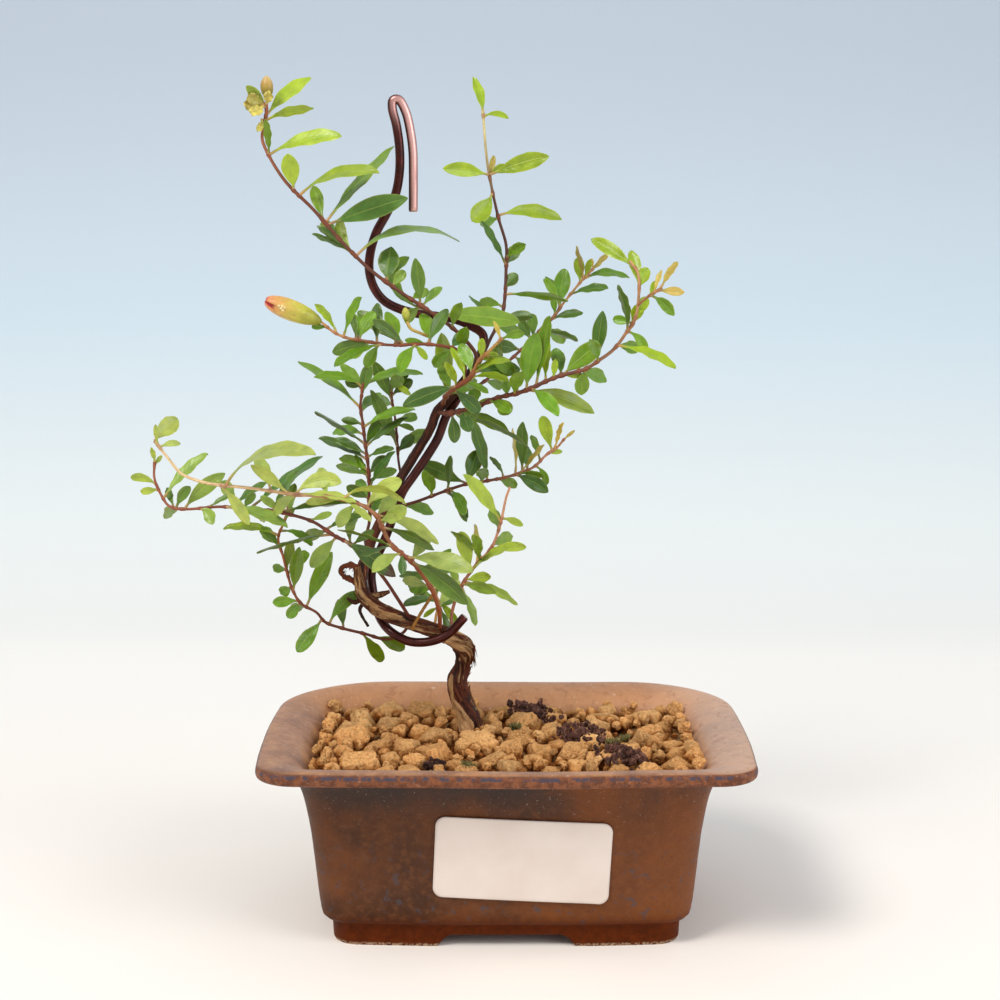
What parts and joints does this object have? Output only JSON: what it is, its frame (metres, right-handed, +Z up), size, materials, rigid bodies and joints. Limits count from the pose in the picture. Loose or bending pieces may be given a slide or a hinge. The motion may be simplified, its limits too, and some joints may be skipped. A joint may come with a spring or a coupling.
{
  "type": "potted pomegranate bonsai",
  "caption": "Small wired pomegranate bonsai with a bent trunk, leafy shoots and a flower bud, in a rectangular footed stoneware pot filled with granular soil.",
  "frame": {"origin": "middle of the whole object's footprint, on the surface that the pot stands on", "axes": "+Z up, +X to the right seen from the front, -Y towards the viewer of the front"},
  "size_m": [0.16, 0.0928, 0.2193],
  "materials": {
    "pot": "satin unglazed stoneware",
    "drain_mesh": "moulded plastic mesh",
    "soil": "dry baked clay grains",
    "humus": "crumbly humus",
    "bark": "peeling twisted bark",
    "wire": "anodised, glossy",
    "bud": "waxy",
    "label": "plain paper",
    "foliage": "leathery, half gloss"
  },
  "bodies": {
    "root": {"pot": "pot", "drain_mesh": "drain_mesh", "soil": "soil", "soil_lump_1": "humus", "soil_lump_2": "humus", "soil_lump_3": "humus", "soil_lump_4": "humus", "trunk": "bark", "wire": "wire", "flower_bud": "bud", "tip_bud": "bud", "label": "label", "spray_crown_left": "foliage", "spray_crown_middle": "foliage", "spray_crown_right": "foliage", "spray_right_arm": "foliage", "spray_right_tip": "foliage", "spray_front_shoot": "foliage", "spray_bud_twig": "foliage", "spray_inner_left": "foliage", "spray_inner_back": "foliage", "spray_left_arm": "foliage", "spray_left_pale": "foliage", "spray_left_drop": "foliage", "spray_right_pink": "foliage", "spray_shoulder": "foliage", "spray_right_low": "foliage"}
  },
  "joints": []
}
